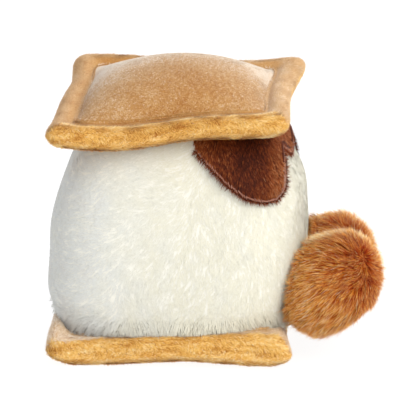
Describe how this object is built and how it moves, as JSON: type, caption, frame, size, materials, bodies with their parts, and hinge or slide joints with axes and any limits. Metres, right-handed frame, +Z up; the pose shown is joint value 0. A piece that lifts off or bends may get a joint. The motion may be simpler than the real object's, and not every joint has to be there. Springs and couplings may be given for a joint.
{
  "type": "plush toy s'more",
  "caption": "Stuffed toy s'more with furry marshmallow body between square cracker cushions, dripping chocolate patch and fluffy paws.",
  "frame": {"origin": "middle of the whole toy's footprint, on the ground under its lower cracker", "axes": "+Z up, the toy looks along -Y with its feet in front, +X is its left side"},
  "size_m": [0.093, 0.13, 0.1096],
  "materials": {
    "cracker_velour": "short velvety pile",
    "cracker_velour_lower": "short velvety pile",
    "marshmallow_fur": "long silky white pile",
    "chocolate_pile": "short dark brown pile",
    "edging_thread": "matt embroidery thread",
    "foot_fur": "long fluffy pile"
  },
  "bodies": {
    "root": {"cracker_top": "cracker_velour", "cracker_bottom": "cracker_velour_lower", "marshmallow": "marshmallow_fur", "chocolate": "chocolate_pile", "chocolate_edging": "edging_thread", "foot_left": "foot_fur", "foot_right": "foot_fur"}
  },
  "joints": []
}
